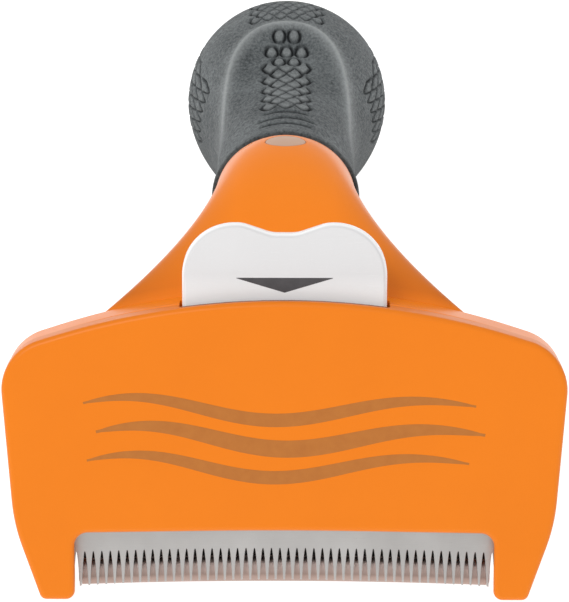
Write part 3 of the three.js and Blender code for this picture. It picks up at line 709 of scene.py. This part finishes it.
def rear_housing():
    front = SEAM_Y + SEAM_GAP
    shell = slab("rear_housing_shell", head_outline(REAR_TOP),
                 front_round(front, 0.6, 5) + back_round(HEAD_DEPTH, 0.5, 5))
    combine(shell, "UNION", [neck()])
    cavity = slab("tool", cavity_outline, [(front - 1, 0), (CAVITY_BACK, 0)])
    combine(shell, "DIFFERENCE", [cavity, neck_hollow()])
    fitted = [rod(3, 6.8, CAVITY_BACK + 0.1, x, SCREW_Z) for x in BLADE_SCREW_X]
    fitted += [post(0.8, LEDGE_Z - 0.5, 18.5, x, SPRING_Y) for x in (-SPRING_X, SPRING_X)]
    fitted += [rod(2.4, front + 0.3, CAVITY_BACK + 0.1, x, z) for x, z in UPPER_COVER_SCREWS]
    combine(shell, "UNION", fitted)
    cutters = [button_slot(front - 1, BUTTON_BACK + GAP), rest_wedge(), *blade_pockets()]
    cutters += [rod(1.5, front - 1, 10.2, x, SCREW_Z) for x in BLADE_SCREW_X]
    cutters += [rod(1.4, front - 1, HEAD_DEPTH, x, z) for x, z in COVER_SCREWS.values()]
    cutters += [rod(2.5, CAVITY_BACK + 0.2, HEAD_DEPTH + 4, x, z) for x, z in COVER_SCREWS.values()]
    along_handle = [rod(SOCKET_RADIUS, -SOCKET_DEPTH, 2, 0, 0, 64), post(1.5, 6, 12, 0, PLUG_AT),
                    post(2.2, 8.6, PLUG_CEILING, 0, PLUG_AT),
                    plug_oval(0.12, PLUG_BOTTOM - GAP, PLUG_CEILING)]
    cutters += [moved(cutter, HANDLE) for cutter in along_handle]
    combine(shell, "DIFFERENCE", cutters)
    return finish_piece(shell, orange_housing, "tool", "orange_housing", "rear_housing")


# ---- blade and guard -----------------------------------------------------------------------------

def tip_z(x):
    """Height of the teeth's tips, which follow a low arch."""
    return TIP_Z - TIP_DROP * (x / MOUTH_HALF) ** 2


def notch_z(x):
    """Height of the notches' tops, on an arch of their own."""
    return NOTCH_Z - NOTCH_DROP * (x / MOUTH_HALF) ** 2


def blade():
    """Toothed blade: each notch is a narrow gothic arch."""
    half = (TOOTH_PITCH - TOOTH_TIP) / 2
    end = tip_z(MOUTH_HALF) + 0.4
    outline = []
    for notch in range(NOTCHES):
        x = (notch - (NOTCHES - 1) / 2) * TOOTH_PITCH
        foot, apex = tip_z(x), notch_z(x)
        flank = [(half * (1 - rise) ** NOTCH_POWER + 0.03, foot + (apex - foot) * rise)
                 for rise in NOTCH_STEPS]
        outline += [Vector((x - dx, z)) for dx, z in flank]
        outline += [Vector((x + dx, z)) for dx, z in reversed(flank)]
    outline += [Vector((BLADE_HALF, z)) for z in (end, BLADE_TOP)]
    outline += [Vector((-BLADE_HALF, z)) for z in (BLADE_TOP, end)]
    edge = 0.05
    piece = slab("blade_ground", outline, [(BLADE_FRONT, edge), (BLADE_FRONT + edge, 0),
                                           (BLADE_BACK - edge, 0), (BLADE_BACK, edge)])
    combine(piece, "DIFFERENCE", [rod(1.5, 3, 6, x, SCREW_Z) for x in BLADE_SCREW_X])
    return finish_piece(piece, blade_steel, "tool", "blade_steel", "blade", sharp=25)


def roll_point(a):
    """Point (y, z) of the guard's roll: round below, squarer and taller above, where it turns in."""
    across, up = math.cos(a), math.sin(a)
    if up <= 0:
        return GUARD_Y + GUARD_RADIUS * across, GUARD_Z + GUARD_RADIUS * up
    front = 0.5 if across < 0 else 1.0
    y = GUARD_Y + GUARD_RADIUS * math.copysign(abs(across) ** front, across)
    return y, GUARD_Z + (GUARD_TOP - GUARD_Z) * up ** front


def skin_guard():
    """Formed sheet clamped behind the blade and rolled forward into a bar along the teeth's arch."""
    clamp_front = BLADE_BACK + GAP
    clamp_back = clamp_front + GUARD_SHEET
    web_back = GUARD_Y + GUARD_RADIUS
    web_front = web_back - GUARD_SHEET
    around = np.linspace(math.acos(1 - GUARD_SHEET / GUARD_RADIUS), 2 * math.pi, 44)
    profile = [(clamp_back, 20), (clamp_front, 20), (clamp_front, 12.7), (web_front, 9.7)]
    profile += [roll_point(a) for a in around]
    profile += [(web_back, 10.1), (clamp_back, 13.1)]
    centre = Vector((GUARD_Y, GUARD_Z))
    rings = []
    end_round = 0.7
    ends = [GUARD_HALF - e for e in (0.0, 0.12, 0.35, end_round)]
    inner = np.linspace(GUARD_HALF - 1.0, 1.0 - GUARD_HALF, 61)
    for x in [*ends, *inner, *(-e for e in reversed(ends))]:
        left = min(GUARD_HALF - abs(x), end_round)
        rounding = 0.5 * (1 - math.sqrt(max(0.0, 1 - (1 - left / end_round) ** 2)))
        ring = []
        for y, z in profile:
            drop = GUARD_DROP * (x / GUARD_HALF) ** 2 * (1 - float(smoothstep(z, 5, 9)))
            offset = Vector((y, z)) - centre
            pull = rounding / GUARD_RADIUS if offset.length < GUARD_RADIUS + 0.1 else 0.0
            y, z = centre + offset * (1 - pull)
            ring.append((x, y, z - drop))
        rings.append(ring)
    piece = skin("skin_guard_formed", rings)
    combine(piece, "DIFFERENCE", [rod(1.5, 5, 8, x, SCREW_Z) for x in BLADE_SCREW_X])
    return finish_piece(piece, guard_steel, "tool", "guard_steel", "skin_guard")


# ---- fasteners -----------------------------------------------------------------------------------

def screw(name, size, matrix, body):
    """Pan-head cross-recess screw along Y with a cut thread, its head's top at 0."""
    head, height, shank, length = size
    profile = [(head * math.sin(a), height * (0.55 - 0.55 * math.cos(a)))
               for a in np.linspace(0, math.pi / 2, 9)]
    profile += [(head, height), (shank, height)]
    y = height + 0.3
    while y < length - 1.0:
        profile += [(shank, y), (shank * 0.78, y + THREAD_PITCH * 0.5)]
        y += THREAD_PITCH
    profile += [(shank, y), (shank * 0.35, length), (0, length)]
    piece = turned(name, profile, 40)
    long, deep = 0.55 * head, 0.5 * height
    slots = [block(-long, long, -1, deep, -0.2, 0.2), block(-0.2, 0.2, -1, deep, -long, long)]
    combine(piece, "DIFFERENCE", slots)
    return finish_piece(piece, screw_steel, body, "screw_steel", name, matrix=HEAD @ matrix, sharp=30)


def fasteners():
    for place, x in zip(("left", "middle", "right"), BLADE_SCREW_X):
        front = Matrix.Translation((x, BLADE_SCREW_Y, SCREW_Z))
        screw(f"blade_screw_{place}", BLADE_SCREW, front, "tool")
    for name, (x, z) in COVER_SCREWS.items():
        place = Matrix.Translation((x, CAVITY_BACK + 1.7, z)) @ Matrix.Rotation(math.pi, 4, "Z")
        screw(name, COVER_SCREW, place, "tool")
    for place, x in (("left", -BUTTON_SCREW_X), ("right", BUTTON_SCREW_X)):
        foot = Matrix.Translation((x, BUTTON_SCREW_Y, SLIDE_BOTTOM + 0.3))
        upright = foot @ Matrix.Rotation(math.pi / 2, 4, "X")
        screw(f"button_screw_{place}", BUTTON_SCREW, upright, "ejector")
    seat = HANDLE @ Matrix.Translation((0, PLUG_AT, HANDLE_SCREW_TOP))
    down = seat @ Matrix.Rotation(-math.pi / 2, 4, "X")
    screw("handle_screw", HANDLE_SCREW, down, "tool")


def spring(place, x):
    """Closed-end compression spring between the ledge and the slide, with a mesh of its own."""
    bottom, top = LEDGE_Z + GAP + SPRING_WIRE, SLIDE_BOTTOM - GAP - SPRING_WIRE
    steps, sides = SPRING_TURNS * 28, 12
    rings = []
    for i in range(steps + 1):
        share = i / steps
        angle = 2 * math.pi * SPRING_TURNS * share
        height = mix(bottom, top, share - 0.03 * math.sin(4 * math.pi * share))
        spoke = Vector((math.cos(angle), math.sin(angle), 0))
        ring = []
        for k in range(sides):
            around = 2 * math.pi * k / sides
            point = spoke * (SPRING_RADIUS + SPRING_WIRE * math.cos(around))
            ring.append((x + point.x, SPRING_Y + point.y, height + SPRING_WIRE * math.sin(around)))
        rings.append(ring)
    piece = skin(f"return_spring_coil_{place}", rings)
    travel = JOINT["range_m"][1] / MM
    foot = HEAD @ Vector((x, SPRING_Y, LEDGE_Z + GAP))
    length = top - bottom + 2 * SPRING_WIRE
    return finish_piece(piece, spring_steel, "tool", "spring_steel", f"return_spring_{place}", squash={
        "joint": JOINT["name"], "axis": tuple(TILT_AXIS), "anchor": tuple(foot),
        "keep": (length - travel) / length})


# ---- ejector -------------------------------------------------------------------------------------

def button():
    """Thumb tab with a bevelled rim, thinning towards its wavy top edge."""
    rim = [(0, 0.62), (0.05, 0.54), (0.12, 0.47), (0.25, 0.33), (0.4, 0.19), (0.55, 0.09),
           (0.7, 0.03), (0.85, 0)]
    cap = slab("ejector_button_cap", button_outline,
               [(BUTTON_FRONT + y, d) for y, d in rim] + back_round(BUTTON_BACK, 0.5, 4))
    behind = BUTTON_BACK + 1
    taper = side_prism([(behind, 47.5), (4.3, 61.5), (4.3, 64), (behind, 64)])
    holes = [post(1.15, BUTTON_BOTTOM - 1, 47, x, BUTTON_SCREW_Y)
             for x in (-BUTTON_SCREW_X, BUTTON_SCREW_X)]
    combine(cap, "DIFFERENCE", [taper, *holes])
    return finish_piece(cap, white_plastic, "ejector", "white_button", "ejector_button", sharp=28)


def arrow():
    """Printed arrow that shows which way the button goes."""
    outline = rounded([(-7.95, 52.4, 0.05), (0, 50.0, 0.15), (7.95, 52.4, 0.05)])
    ink = slab("push_arrow_print", outline, [(BUTTON_FRONT - 0.02, 0), (BUTTON_FRONT + 0.05, 0)])
    return finish_piece(ink, arrow_ink, "ejector", "white_button")


# ---- printed strands on the face -----------------------------------------------------------------

def strand(name, start, end, height, swing, thickness):
    """One tapering, waving hair strand, printed on the face."""
    share = np.linspace(0, 1, 81)
    x = mix(start, end, share)
    z = height + swing * np.sin(2 * np.pi * (1.35 * share + 0.08)) * (1 - 0.35 * share)
    half = thickness / 2 * np.sin(np.pi * np.clip(share, 0.012, 0.988)) ** 0.55
    slope = np.gradient(z, x)
    normal = np.stack([-slope, np.ones_like(slope)], 1) / np.hypot(slope, 1)[:, None]
    lower = [Vector((a - n[0] * h, b - n[1] * h)) for a, b, n, h in zip(x, z, normal, half)]
    upper = [Vector((a + n[0] * h, b + n[1] * h)) for a, b, n, h in zip(x, z, normal, half)]
    ink = slab(name, lower + upper[::-1], [(-0.02, 0), (0.05, 0)])
    return finish_piece(ink, strand_ink, "tool", "orange_cover")


# ---- handle --------------------------------------------------------------------------------------

def grip_radius(t):
    """Radius of the round form: a lip at the neck, a waist and a bulb with a domed end."""
    beyond = np.clip((t - BULB_AT) / (GRIP_LENGTH - BULB_AT), 0, 1)
    dome = BULB_RADIUS * np.sqrt(np.maximum(0, 1 - beyond ** 2.7))
    lip = 0.5 * (1 - smoothstep(t, 1.5, 6))
    return np.where(t > BULB_AT, dome, lip + mix(GRIP_RADIUS, BULB_RADIUS, smoothstep(t, 24, BULB_AT)))


def channel_edge(t, x):
    """Signed distance outside the thumb channel's edge, in millimetres."""
    length = CHANNEL_END - CHANNEL_START
    reach, side = np.clip((t - CHANNEL_START) / length, 0, None), np.abs(x) / CHANNEL_HALF
    level = side ** CHANNEL_CORNER + reach ** CHANNEL_ARCH - 1
    slope = np.hypot(CHANNEL_CORNER * side ** (CHANNEL_CORNER - 1) / CHANNEL_HALF,
                     CHANNEL_ARCH * reach ** (CHANNEL_ARCH - 1) / length)
    return level / (slope + 0.02)


def channel_depth(t, x):
    """How far the channel lies under the round form; its raised bead counts as less."""
    reach = np.clip((t - CHANNEL_START) / (CHANNEL_END - CHANNEL_START), 0, 1)
    half = CHANNEL_HALF * np.maximum(0, 1 - reach ** CHANNEL_ARCH) ** (1 / CHANNEL_CORNER) + 0.01
    middle = 0.45 + 2.85 * smoothstep(t, 22, 50)
    fade = 1 - smoothstep(t, 54, CHANNEL_END)
    inside = 1 - np.abs(x / half) ** 2.6
    hollow = np.where(t < CHANNEL_END, middle * fade * (inside + np.hypot(inside, 0.05)) / 2, 0)
    bead = 0.26 * np.exp(-((channel_edge(t, x) / 0.5) ** 2)) * smoothstep(t, 5, 14)
    return hollow - bead


def grip_surface(t, angle, shrink=0.0):
    """Point of the grip's smooth outer form, angle from the top, in the handle's frame."""
    radius = np.maximum(0.02, grip_radius(t) - shrink)
    bulb = smoothstep(t, 25, 60)
    up = np.cos(angle)
    x = np.sin(angle) * radius * (1 + 0.03 * bulb * np.minimum(0, up))
    z = up * radius * np.where(up > 0, 1 - 0.04 * bulb, 1)
    z = z - np.where(up > 0, channel_depth(t, x) * np.minimum(1, 3 * up), 0)
    return np.stack([x, t + 0 * x, z], -1)


def scale_patch(across, along, rows, half_width, half_length):
    """Overlapping lens-shaped scales: the creases under them and their proud lower ends, 0 to 1."""
    crease = np.zeros(np.broadcast(across, along).shape)
    proud = np.zeros_like(crease)
    for place, columns in rows:
        for i in range(columns):
            u = (across - (i - (columns - 1) / 2) * 2 * half_width) / half_width
            v = (along - place) / half_length
            inside = 1 - np.abs(v) - np.abs(u) ** 1.6
            outward = (u if i else -u) if i in (0, columns - 1) else -np.abs(u)
            end = smoothstep(outward, 0.2, 0.6)
            edge = np.exp(-(((inside - 0.05) / (0.2 + 0.16 * end)) ** 2))
            drawn = np.maximum(0.85 * smoothstep(-v, -0.2, 0.12), end)
            crease = np.maximum(crease, edge * drawn)
            proud = np.maximum(proud, smoothstep(inside, 0, 0.3) * np.clip(0.5 - 0.5 * v, 0, 1))
    return crease, proud


def staggered(first, last, pitch, widths):
    """Rows of scales from first to last, alternating between two numbers of columns."""
    count = round((last - first) / pitch) + 1
    return [(first + i * pitch, widths[i % 2]) for i in range(count)]


def grip_relief(t, angle, x):
    """Creases and proud places of the moulded scales, dots and ribs, each from 0 to 1."""
    top = np.cos(angle) > 0
    channel, channel_proud = scale_patch(x, t, staggered(21.4, 47.8, 3.3, (3, 2)), 1.53, 2.7)
    crown, crown_proud = scale_patch(x, t, staggered(65.2, 79.4, 2.84, (6, 5)), 1.2, 2.1)
    crease, proud = np.maximum(channel, crown), np.maximum(channel_proud, 0.4 * crown_proud)
    for at, columns, stretch in ((50.4, 2, 0.66), (54.3, 3, 0.7), (57.7, 2, 0.95)):
        for i in range(columns):
            side = x - (i - (columns - 1) / 2) * 2.8
            distance = np.hypot(side, (t - at) * stretch)
            ring = np.exp(-(((distance - 1.15) / 0.3) ** 2))
            crease = np.maximum(crease, ring * (0.5 + 0.5 * smoothstep(np.abs(side), 0.3, 0.9)))
            proud = np.maximum(proud, 0.6 * smoothstep(1.0 - distance, 0, 0.35))
    for at, half in ((8.6, 4.8), (12.4, 5.4), (16.6, 4.2)):
        bend = t - at + 0.02 * x * x
        rib = np.exp(-((bend / 0.7) ** 2)) * (1 - smoothstep(np.abs(x), half - 1.0, half + 0.3))
        crease = np.maximum(crease, rib)
    middle = np.radians(91 - 21 * np.clip((t - 50) / 32, 0, None) ** 1.3)
    side = (np.abs(angle) - middle) * 18.5
    slanted = side - (t - 68) / 6
    flank, flank_proud = scale_patch(slanted, t, staggered(54.0, 82.0, 5.6, (6, 5)), 1.1, 4.6)
    return (np.maximum(np.where(top, crease, 0), 0.85 * flank),
            np.maximum(np.where(top, proud, 0), 0.3 * flank_proud))


def dense(low, high, span, fine, coarse):
    """Stations from low to high: fine steps inside the span, coarse steps elsewhere."""
    places = [low]
    while places[-1] < high:
        places.append(places[-1] + (fine if span[0] <= places[-1] < span[1] else coarse))
    places[-1] = high
    return np.array(places)


def grip():
    """Overmoulded grip: one closed skin with its bore, the thumb channel and the moulded relief."""
    angles = -np.radians(dense(-180, 180, (-109, 109), 0.62, 2.4)[:-1])
    mouth = [0.0, 0.03, 0.1, 0.22, 0.38, 0.58, 0.8, 1.05, 1.35]
    along = np.concatenate([mouth, dense(1.7, 88, (2, 90), 0.27, 0.5)])
    dome = BULB_AT + (GRIP_LENGTH - BULB_AT) * np.sin(np.linspace(0.76, math.pi / 2, 30)) ** 0.95
    along = np.concatenate([along[along < dome[0] - 0.3], dome[:-1]])
    t, angle = np.meshgrid(along, angles, indexing="ij")
    lip = 0.8 * (1 - np.sqrt(np.clip(1 - (1 - np.clip(t / 0.8, 0, 1)) ** 2, 0, 1)))
    surface = grip_surface(t, angle, lip)
    normal = np.cross(np.roll(surface, -1, 1) - np.roll(surface, 1, 1), np.gradient(surface, axis=0))
    normal /= np.linalg.norm(normal, axis=-1, keepdims=True) + 1e-12
    outward = np.sign((normal * (surface * np.array([1, 0, 1]))).sum(-1, keepdims=True))
    crease, proud = grip_relief(t, angle, surface[..., 0])
    depth = GRIP_INSET + CREASE_DEPTH * crease - SCALE_RISE * proud
    surface = surface - normal * outward * depth[..., None]
    bore = ((0.05, 81.8), (8.9, 81.8), (9, 81.6), (9, 40), (9, 0.4), (9.3, 0), (11.6, 0))
    rings = [[(r * math.sin(a), y, r * math.cos(a)) for a in angles] for r, y in bore]
    rings += [[tuple(p) for p in ring] for ring in surface]
    rings.append([(0.02 * math.sin(a), GRIP_LENGTH, 0.02 * math.cos(a)) for a in angles])
    piece = skin("grip_sleeve_grained", rings)
    edge = channel_edge(t, surface[..., 0])
    ridge = 0.45 * np.exp(-((edge / 0.35) ** 2)) + 0.5 * np.exp(-((edge / 1.2) ** 2))
    ridge *= smoothstep(t, CHANNEL_START, 36)
    lip_line, lip_band = 0.5 * (1 - smoothstep(t, 0.25, 0.7)), 0.26 * (1 - smoothstep(t, 2.0, 2.5))
    # Painted shade and highlight as attributes: creases and the line and band at the mouth are painted
    # darker, the channel's ridges and the proud scales paler.
    shades = {
        "crease": np.maximum(crease, np.maximum(lip_line, lip_band)),
        "painted_highlight": np.maximum(np.where(np.cos(angle) > 0, ridge, 0), 0.55 * proud),
    }
    before, after = np.zeros((len(bore), len(angles))), np.zeros((1, len(angles)))
    for name, shade in shades.items():
        values = np.concatenate([before, shade, after]).ravel().astype(np.float32)
        piece.data.attributes.new(name, "FLOAT", "POINT").data.foreach_set("value", values)
    return finish_piece(piece, grip_rubber, "tool", "grip_rubber", "grip_sleeve",
                        matrix=HANDLE_SPACE, sharp=60)


def plug():
    """Oval plug over the handle screw, flush with the neck."""
    cap = moved(plug_oval(0, PLUG_BOTTOM, PLUG_CEILING), HANDLE)
    combine(cap, "INTERSECT", [neck()])
    return finish_piece(cap, orange_plug, "tool", "orange_plug", "screw_plug")


# ---- build ---------------------------------------------------------------------------------------

front_cover()
rear_housing()
blade()
skin_guard()
fasteners()
spring("left", -SPRING_X)
spring("right", SPRING_X)
button()
arrow()
strand("strand_print_upper", -32.0, 30.5, 31.6, 2.1, 2.2)
strand("strand_print_middle", -30.0, 32.0, 26.9, 2.1, 2.8)
strand("strand_print_lower", -31.5, 29.5, 22.2, 2.1, 2.2)
grip()
plug()

carried = {
    "ejector_slide": slide_plastic, "ejector_plate": plate_steel, "handle_core": core_plastic,
    "core_end_cap": core_plastic, "plate_rivet_left": screw_steel, "plate_rivet_right": screw_steel,
}
for node, material in carried.items():
    frame["nodes"][node].data.materials.clear()
    frame["nodes"][node].data.materials.append(material)


# ---- floor, light and camera ---------------------------------------------------------------------

def floor():
    half = 1.5
    corners = [(-half, -half, 0), (half, -half, 0), (half, half, 0), (-half, half, 0)]
    piece = mesh_piece("floor", corners, [(0, 1, 2, 3)])
    piece.data.materials.append(pale_floor("pale_floor"))


def area_light(name, place, target, size, power):
    light = bpy.data.lights.new(name, "AREA")
    light.shape = "RECTANGLE"
    light.size, light.size_y = size
    light.energy = power
    lamp = bpy.data.objects.new(name, light)
    lamp.location = place
    lamp.rotation_euler = (Vector(target) - Vector(place)).to_track_quat("-Z", "Y").to_euler()
    bpy.context.scene.collection.objects.link(lamp)


def world(front, back, zenith):
    """Even surround of the given strengths in front and behind, times zenith straight overhead."""
    studio = bpy.data.worlds.new("studio")
    studio.use_nodes = True
    nodes, links = studio.node_tree.nodes, studio.node_tree.links
    place = nodes.new("ShaderNodeTexCoord")
    split = nodes.new("ShaderNodeSeparateXYZ")
    links.new(place.outputs["Generated"], split.inputs[0])

    def ramp(axis, low, high, start, end):
        node = nodes.new("ShaderNodeMapRange")
        node.interpolation_type = "SMOOTHSTEP"
        links.new(split.outputs[axis], node.inputs["Value"])
        for key, value in (("From Min", low), ("From Max", high), ("To Min", start), ("To Max", end)):
            node.inputs[key].default_value = value
        return node.outputs["Result"]

    level = nodes.new("ShaderNodeMath")
    level.operation = "MULTIPLY"
    links.new(ramp("Y", -0.8, 0.8, front, back), level.inputs[0])
    links.new(ramp("Z", 0.2, 0.95, 1.0, zenith), level.inputs[1])
    background = nodes["Background"]
    background.inputs["Color"].default_value = (1, 1, 1, 1)
    links.new(level.outputs["Value"], background.inputs["Strength"])
    bpy.context.scene.world = studio


def camera():
    """Long lens, 480 mm from the face, 11 degrees above the face's normal."""
    distance, pitch, yaw = 480.0, math.radians(11), math.radians(0.19)
    aim = Vector((0, 0, 49.22))
    level = Vector((math.sin(yaw), -math.cos(yaw), 0))
    direction = level * math.cos(pitch) + Vector((0, 0, math.sin(pitch)))
    lens = bpy.data.cameras.new("camera")
    lens.lens = 181.8
    lens.sensor_width = 36.0
    eye = bpy.data.objects.new("camera", lens)
    eye.location = HEAD @ (aim + direction * distance)
    view = (HEAD @ aim) - eye.location
    eye.rotation_euler = view.to_track_quat("-Z", "Y").to_euler()
    bpy.context.scene.collection.objects.link(eye)
    bpy.context.scene.camera = eye


floor()
world(0.72, 0.75, 0.97)
area_light("high_front", (-0.55, -0.9, 1.25), (0, -0.02, 0.03), (0.8, 0.6), 9.0)
camera()
bpy.context.scene.view_settings.view_transform = "Standard"
